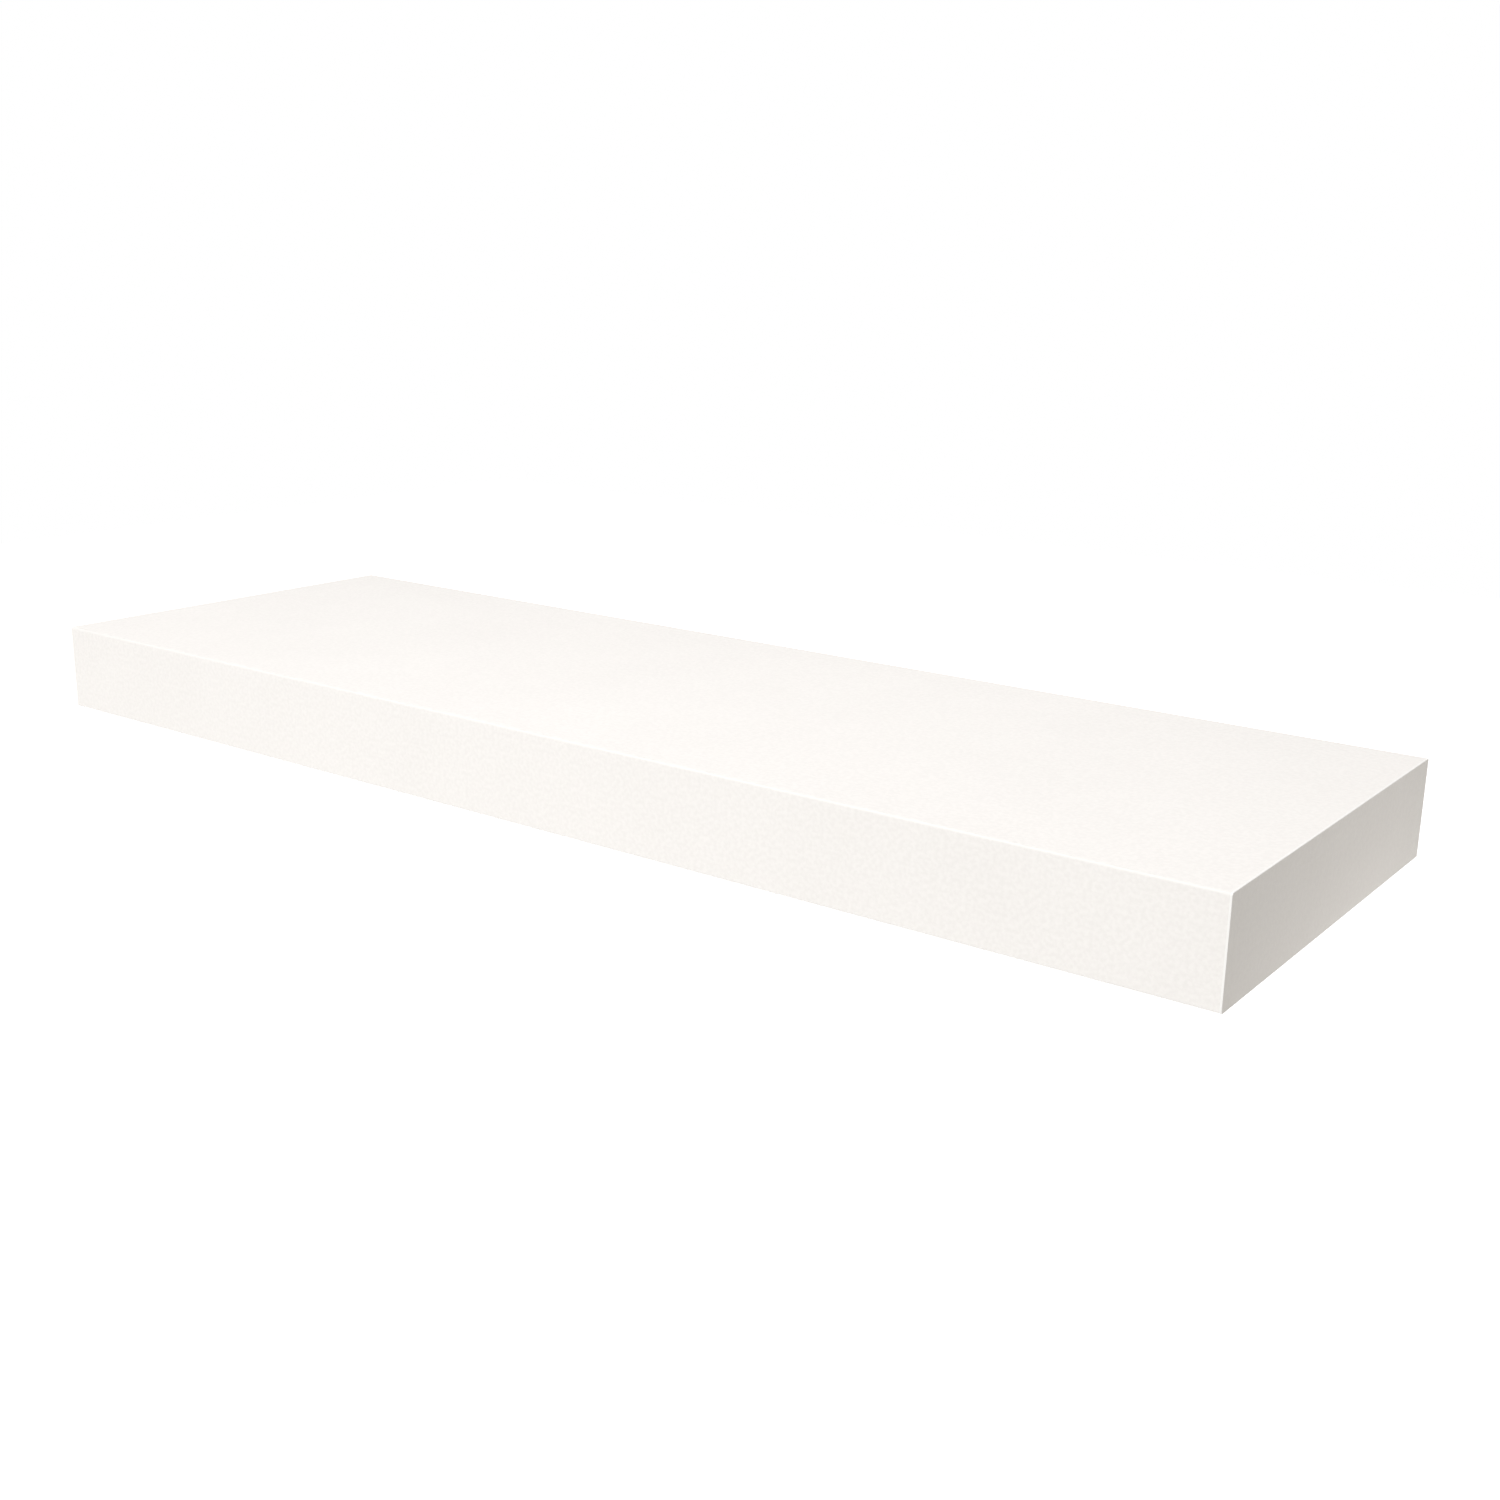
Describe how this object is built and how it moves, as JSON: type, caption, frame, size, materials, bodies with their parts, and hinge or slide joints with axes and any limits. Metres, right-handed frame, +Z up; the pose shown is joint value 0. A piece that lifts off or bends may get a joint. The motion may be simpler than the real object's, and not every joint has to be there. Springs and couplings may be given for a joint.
{
  "type": "floating wall shelf",
  "caption": "Plain white hollow-core wall shelf that slides onto rods standing out of a hidden steel wall plate.",
  "frame": {"origin": "on the wall plane, in the middle of the wall plate's back face", "axes": "+X along the shelf's length, +Y into the wall (so -Y is out towards the room), +Z up"},
  "size_m": [0.762, 0.293, 0.051],
  "materials": {
    "white_foil": "satin",
    "hardboard": "matte",
    "chipboard": "matte",
    "kraft_paper": "matte",
    "beech": "matte",
    "zinc_steel": "satin",
    "black_steel": "satin",
    "brass_insert": "satin",
    "grey_nylon": "matte"
  },
  "bodies": {
    "bracket": {"wall_plate": "zinc_steel", "rod_left": "zinc_steel", "rod_centre": "zinc_steel", "rod_right": "zinc_steel", "weld_left": "zinc_steel", "weld_centre": "zinc_steel", "weld_right": "zinc_steel", "wall_screw_outer_left": "zinc_steel", "wall_screw_inner_left": "zinc_steel", "wall_screw_inner_right": "zinc_steel", "wall_screw_outer_right": "zinc_steel", "washer_outer_left": "zinc_steel", "washer_inner_left": "zinc_steel", "washer_inner_right": "zinc_steel", "washer_outer_right": "zinc_steel", "wall_plug_outer_left": "grey_nylon", "wall_plug_inner_left": "grey_nylon", "wall_plug_inner_right": "grey_nylon", "wall_plug_outer_right": "grey_nylon"},
    "shelf": {"decor_wrap": "white_foil", "end_band_left": "white_foil", "end_band_right": "white_foil", "top_board": "hardboard", "bottom_board": "hardboard", "front_rail": "chipboard", "rear_rail": "chipboard", "end_rail_left": "chipboard", "end_rail_right": "chipboard", "rod_rib_left": "chipboard", "rod_rib_centre": "chipboard", "rod_rib_right": "chipboard", "honeycomb_outer_left": "kraft_paper", "honeycomb_inner_left": "kraft_paper", "honeycomb_inner_right": "kraft_paper", "honeycomb_outer_right": "kraft_paper", "dowel_rib_left": "beech", "dowel_rib_centre": "beech", "dowel_rib_right": "beech", "dowel_front_left": "beech", "dowel_front_right": "beech", "dowel_rear_left": "beech", "dowel_rear_right": "beech", "lock_insert_left": "brass_insert", "lock_insert_right": "brass_insert"},
    "lock_left": {"lock_screw_left": "black_steel"},
    "lock_right": {"lock_screw_right": "black_steel"}
  },
  "joints": [
    {"name": "shelf_slide", "type": "slide", "parent": "bracket", "child": "shelf", "axis": [0, -1, 0], "range_m": [0, 0.185]},
    {"name": "lock_left_loosen", "type": "slide", "parent": "shelf", "child": "lock_left", "axis": [0, 0, -1], "range_m": [0, 0.003]},
    {"name": "lock_right_loosen", "type": "slide", "parent": "shelf", "child": "lock_right", "axis": [0, 0, -1], "range_m": [0, 0.003]}
  ]
}
